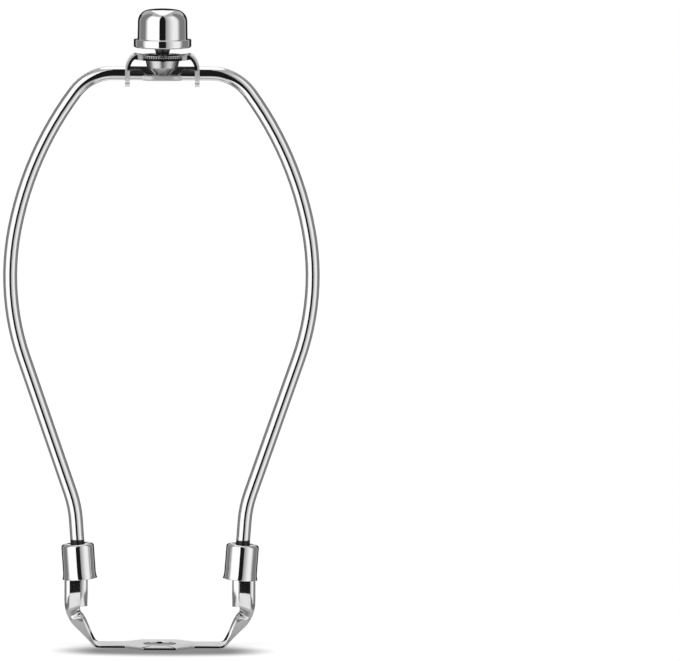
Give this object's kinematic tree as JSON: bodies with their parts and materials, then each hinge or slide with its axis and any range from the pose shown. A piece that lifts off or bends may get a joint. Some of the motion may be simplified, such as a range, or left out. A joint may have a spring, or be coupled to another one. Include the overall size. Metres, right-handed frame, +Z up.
{
  "type": "lamp harp",
  "caption": "Chromed lamp harp: bent wire bow held in a stamped saddle by two sliding sleeves, with a toothed shade bracket and a screw-on finial on top.",
  "frame": {"origin": "middle of the saddle's underside, on the axis of the pipe hole", "axes": "+Z up along the pipe, +X across the width of the bow, -Y towards the viewer"},
  "size_m": [0.1082, 0.0236, 0.2191],
  "materials": {
    "saddle_plating": "bright plated sheet",
    "wire_plating": "bright plated wire",
    "sleeve_plating": "polished and plated",
    "bracket_plating": "bright plated sheet",
    "stud_plating": "bright plated thread",
    "finial_plating": "polished and plated"
  },
  "bodies": {
    "saddle": {"saddle": "saddle_plating"},
    "bow": {"harp_wire": "wire_plating", "shade_bracket": "bracket_plating", "finial_stud": "stud_plating"},
    "sleeve_left": {"sleeve_left": "sleeve_plating"},
    "sleeve_right": {"sleeve_right": "sleeve_plating"},
    "finial": {"finial": "finial_plating"}
  },
  "joints": [
    {"name": "bow_lift", "type": "slide", "parent": "saddle", "child": "bow", "axis": [0, 0, 1], "range_m": [0, 0.024]},
    {"name": "sleeve_left_slide", "type": "slide", "parent": "bow", "child": "sleeve_left", "axis": [-0.0715, 0, 0.9974], "range_m": [0, 0.011]},
    {"name": "sleeve_right_slide", "type": "slide", "parent": "bow", "child": "sleeve_right", "axis": [0.0715, 0, 0.9974], "range_m": [0, 0.011]},
    {"name": "finial_turn_off", "type": "slide", "parent": "bow", "child": "finial", "axis": [0, 0, 1], "range_m": [-0.0022, 0.0065]}
  ]
}
